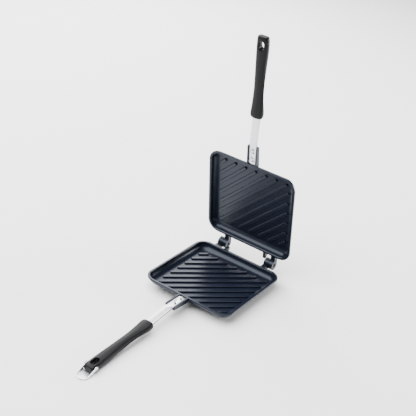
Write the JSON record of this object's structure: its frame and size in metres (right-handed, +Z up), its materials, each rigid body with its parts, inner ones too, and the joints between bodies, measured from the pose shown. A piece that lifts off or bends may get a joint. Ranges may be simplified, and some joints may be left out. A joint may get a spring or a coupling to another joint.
{
  "type": "stovetop sandwich maker",
  "caption": "Square two-pan stovetop sandwich maker, open: ribbed dark castings joined by a rear hinge, riveted steel bars, moulded grips and a swinging clip.",
  "frame": {"origin": "on the hob plane, under the middle of the space that the open part takes", "axes": "+Z up, X along the hinge, -Y towards the grips' ends, the lower pan lying flat and the upper one open 80 degrees"},
  "size_m": [0.15, 0.396, 0.3827],
  "materials": {
    "coated_cast_aluminium": "cast aluminium with a satin dark non-stick coating",
    "stainless_bar": "bright rolled stainless strip",
    "rivet_steel": "bright domed heads",
    "grey_phenolic_plastic": "satin moulded grey phenolic",
    "pin_steel": "plain steel pin",
    "stainless_sheet": "bright pressed stainless sheet"
  },
  "bodies": {
    "lower_half": {"lower_pan": "coated_cast_aluminium", "left_hinge_pin": "pin_steel", "right_hinge_pin": "pin_steel", "lower_handle_bar": "stainless_bar", "lower_rear_rivet": "rivet_steel", "lower_front_rivet": "rivet_steel", "lower_grip": "grey_phenolic_plastic", "left_clip_pin": "pin_steel", "right_clip_pin": "pin_steel"},
    "upper_half": {"upper_pan": "coated_cast_aluminium", "upper_handle_bar": "stainless_bar", "upper_rear_rivet": "rivet_steel", "upper_front_rivet": "rivet_steel", "upper_grip": "grey_phenolic_plastic"},
    "clip": {"locking_clip": "stainless_sheet"}
  },
  "joints": [
    {"name": "lid_hinge", "type": "hinge", "parent": "lower_half", "child": "upper_half", "pos_m": [0, 0.18463, 0.02], "axis": [-1, 0, 0], "range_deg": [-80, 100]},
    {"name": "clip_pivot", "type": "hinge", "parent": "lower_half", "child": "clip", "pos_m": [0, -0.17467, 0.0075], "axis": [-1, 0, 0], "range_deg": [-60, 90]}
  ]
}
